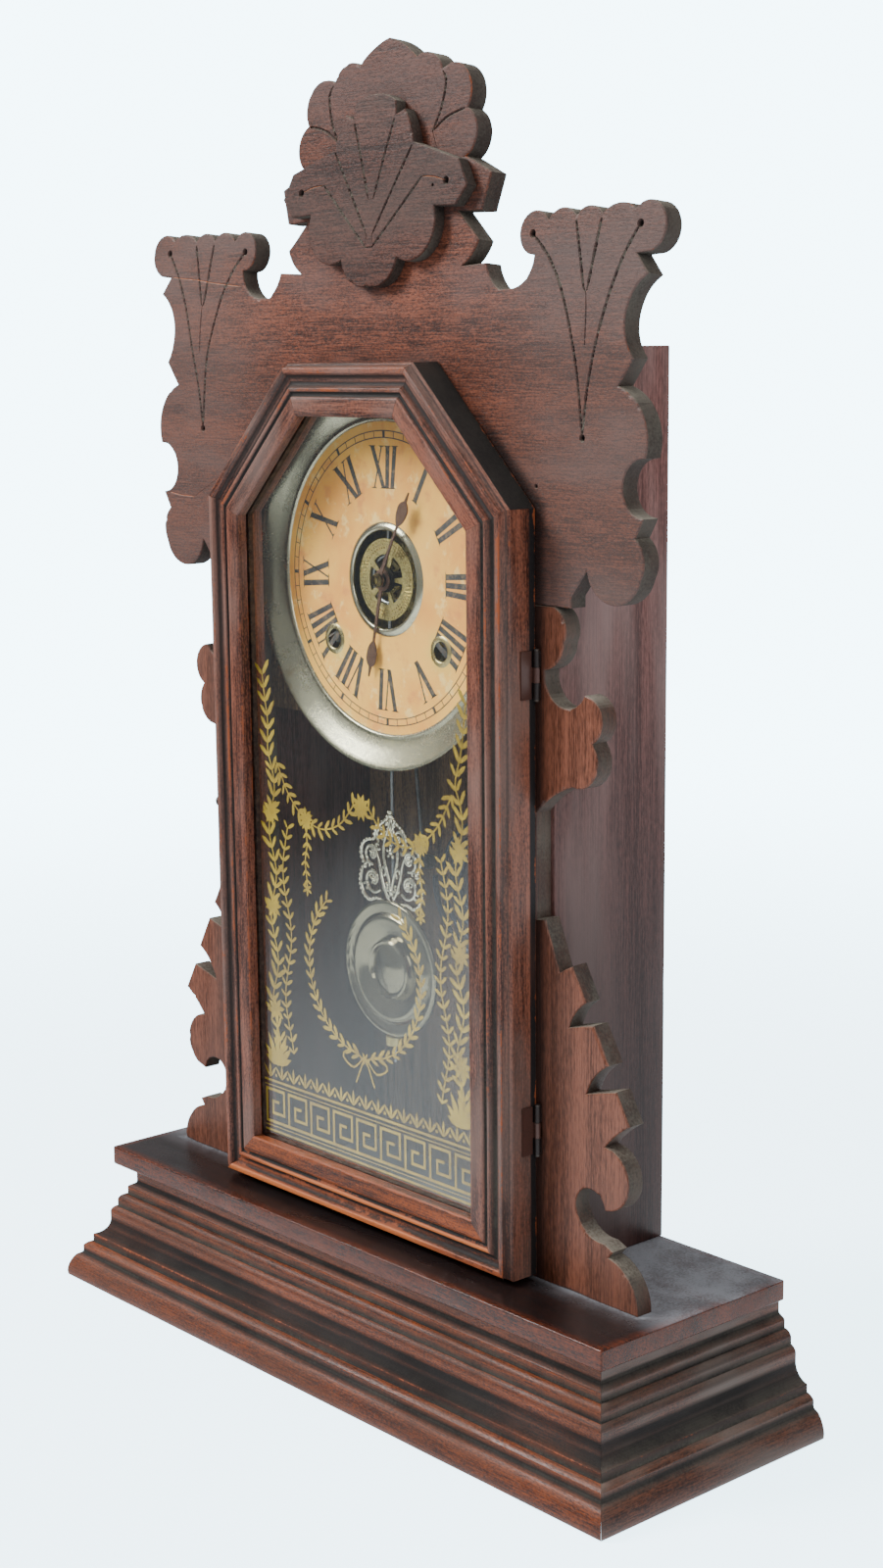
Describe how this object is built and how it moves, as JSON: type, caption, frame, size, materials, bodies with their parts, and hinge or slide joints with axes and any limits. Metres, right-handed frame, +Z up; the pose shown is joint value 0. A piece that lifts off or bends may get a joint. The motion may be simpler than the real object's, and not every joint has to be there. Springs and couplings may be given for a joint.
{
  "type": "gingerbread shelf clock",
  "caption": "Wooden eight-day shelf clock with a scroll-sawn front, moulded base, glazed eight-sided door, paper dial, pendulum, hinged door, going train and gong strike.",
  "frame": {"origin": "bottom centre of the bounding box, on the surface it stands on", "axes": "+Z up, the dial and door face -Y, +X is to the right as seen from the front"},
  "size_m": [0.3644, 0.129, 0.56],
  "materials": {
    "base_wood": "old varnish",
    "slab_wood": "worn varnish",
    "back_wood": "bare",
    "case_wood": "old varnish",
    "crest_wood": "dull varnish",
    "front_wood": "old varnish",
    "dial_tin": "dull nickel",
    "paper": "aged paper",
    "door_wood": "old varnish",
    "glass": "clear",
    "putty": "dry putty",
    "iron": "dark",
    "plate_brass": "old brass",
    "wheel_brass": "old brass",
    "steel": "dull steel",
    "nickel": "dull nickel",
    "hand_steel": "browned"
  },
  "bodies": {
    "case": {"base_moulding_front": "base_wood", "base_moulding_left": "base_wood", "base_moulding_right": "base_wood", "base_back_rail": "back_wood", "base_top_board": "slab_wood", "case_side_left": "case_wood", "case_side_right": "case_wood", "case_top": "case_wood", "back_board": "back_wood", "crest_board": "crest_wood", "front_board_left": "front_wood", "front_board_right": "front_wood", "crest_shield": "crest_wood", "dial_cleats": "back_wood", "dial_pan": "dial_tin", "dial_paper": "paper", "dial_rings": "dial_tin", "dial_feet": "iron", "hinge_case_leaves": "iron", "hinge_pins": "iron", "front_plate": "plate_brass", "back_plate": "plate_brass", "plate_pillars": "steel", "pillar_nuts": "steel", "movement_feet": "steel", "feet_screws": "steel", "mainsprings": "steel", "suspension_post": "wheel_brass", "gong": "steel", "gong_stand": "iron"},
    "door": {"door_bottom_rail": "door_wood", "door_stile_right": "door_wood", "door_corner_right": "door_wood", "door_top_rail": "door_wood", "door_corner_left": "door_wood", "door_stile_left": "door_wood", "door_glass": "glass", "glass_putty": "putty", "door_knob": "iron", "hinge_door_leaves": "iron"},
    "minute": {"centre_arbor": "wheel_brass", "minute_hand": "hand_steel", "hand_nut": "wheel_brass"},
    "hour": {"hour_pipe": "wheel_brass", "hour_hand": "hand_steel"},
    "motion": {"motion_wheel": "wheel_brass"},
    "time_second": {"time_second_wheel": "wheel_brass"},
    "time_third": {"time_third_wheel": "wheel_brass"},
    "escape": {"escape_wheel": "wheel_brass"},
    "time_great": {"time_great_wheel": "wheel_brass"},
    "time_winding": {"time_winding_arbor": "steel"},
    "strike_great": {"strike_great_wheel": "wheel_brass"},
    "strike_second": {"strike_second_wheel": "wheel_brass"},
    "strike_winding": {"strike_winding_arbor": "steel"},
    "verge": {"verge": "steel"},
    "pendulum": {"pendulum_rod": "steel", "pendulum_bob": "nickel", "bob_ornament": "nickel", "rating_nut": "wheel_brass"},
    "hammer": {"hammer": "steel"}
  },
  "joints": [
    {"name": "door_hinge", "type": "hinge", "parent": "case", "child": "door", "pos_m": [0.0969, -0.01535, 0.2], "axis": [0, 0, 1], "range_deg": [0, 100]},
    {"name": "minute_turn", "type": "hinge", "parent": "case", "child": "minute", "pos_m": [0, 0.02, 0.3443], "axis": [0, 1, 0], "continuous": true},
    {"name": "hour_turn", "type": "hinge", "parent": "case", "child": "hour", "pos_m": [0, 0.02, 0.3443], "axis": [0, 1, 0], "continuous": true},
    {"name": "motion_turn", "type": "hinge", "parent": "case", "child": "motion", "pos_m": [-0.01682, 0.02, 0.33818], "axis": [0, 1, 0], "continuous": true},
    {"name": "time_second_turn", "type": "hinge", "parent": "case", "child": "time_second", "pos_m": [0.0265, 0.02, 0.3465], "axis": [0, 1, 0], "continuous": true},
    {"name": "time_third_turn", "type": "hinge", "parent": "case", "child": "time_third", "pos_m": [0.014, 0.02, 0.366], "axis": [0, 1, 0], "continuous": true},
    {"name": "escape_turn", "type": "hinge", "parent": "case", "child": "escape", "pos_m": [0, 0.02, 0.38], "axis": [0, 1, 0], "continuous": true},
    {"name": "time_great_turn", "type": "hinge", "parent": "case", "child": "time_great", "pos_m": [0.0343, 0.02, 0.317], "axis": [0, 1, 0], "continuous": true},
    {"name": "time_winding_turn", "type": "hinge", "parent": "case", "child": "time_winding", "pos_m": [0.0343, 0.02, 0.317], "axis": [0, 1, 0], "continuous": true},
    {"name": "strike_great_turn", "type": "hinge", "parent": "case", "child": "strike_great", "pos_m": [-0.0343, 0.02, 0.317], "axis": [0, 1, 0], "continuous": true},
    {"name": "strike_second_turn", "type": "hinge", "parent": "case", "child": "strike_second", "pos_m": [-0.0265, 0.02, 0.3465], "axis": [0, 1, 0], "continuous": true},
    {"name": "strike_winding_turn", "type": "hinge", "parent": "case", "child": "strike_winding", "pos_m": [-0.0343, 0.02, 0.317], "axis": [0, 1, 0], "continuous": true},
    {"name": "pendulum_swing", "type": "hinge", "parent": "case", "child": "pendulum", "pos_m": [0, 0.02, 0.402], "axis": [0, 1, 0], "range_deg": [-4, 4]},
    {"name": "verge_rock", "type": "hinge", "parent": "case", "child": "verge", "pos_m": [0, 0.02, 0.3965], "axis": [0, 1, 0], "range_deg": [-5, 5]},
    {"name": "hammer_lift", "type": "hinge", "parent": "case", "child": "hammer", "pos_m": [-0.054, 0.02, 0.345], "axis": [0, 1, 0], "range_deg": [0, 12], "stiffness_Nm_per_rad": 0.004, "springref_deg": -17.19}
  ],
  "couplings": [
    {"joint": "hour_turn", "follows": "minute_turn", "ratio": 0.083333},
    {"joint": "motion_turn", "follows": "minute_turn", "ratio": -0.4},
    {"joint": "time_second_turn", "follows": "minute_turn", "ratio": -0.16667},
    {"joint": "time_great_turn", "follows": "minute_turn", "ratio": 0.026882},
    {"joint": "time_third_turn", "follows": "minute_turn", "ratio": -11.143},
    {"joint": "escape_turn", "follows": "minute_turn", "ratio": 92.327},
    {"joint": "strike_second_turn", "follows": "strike_great_turn", "ratio": -6.2},
    {"joint": "verge_rock", "follows": "pendulum_swing", "ratio": 1.2157}
  ]
}
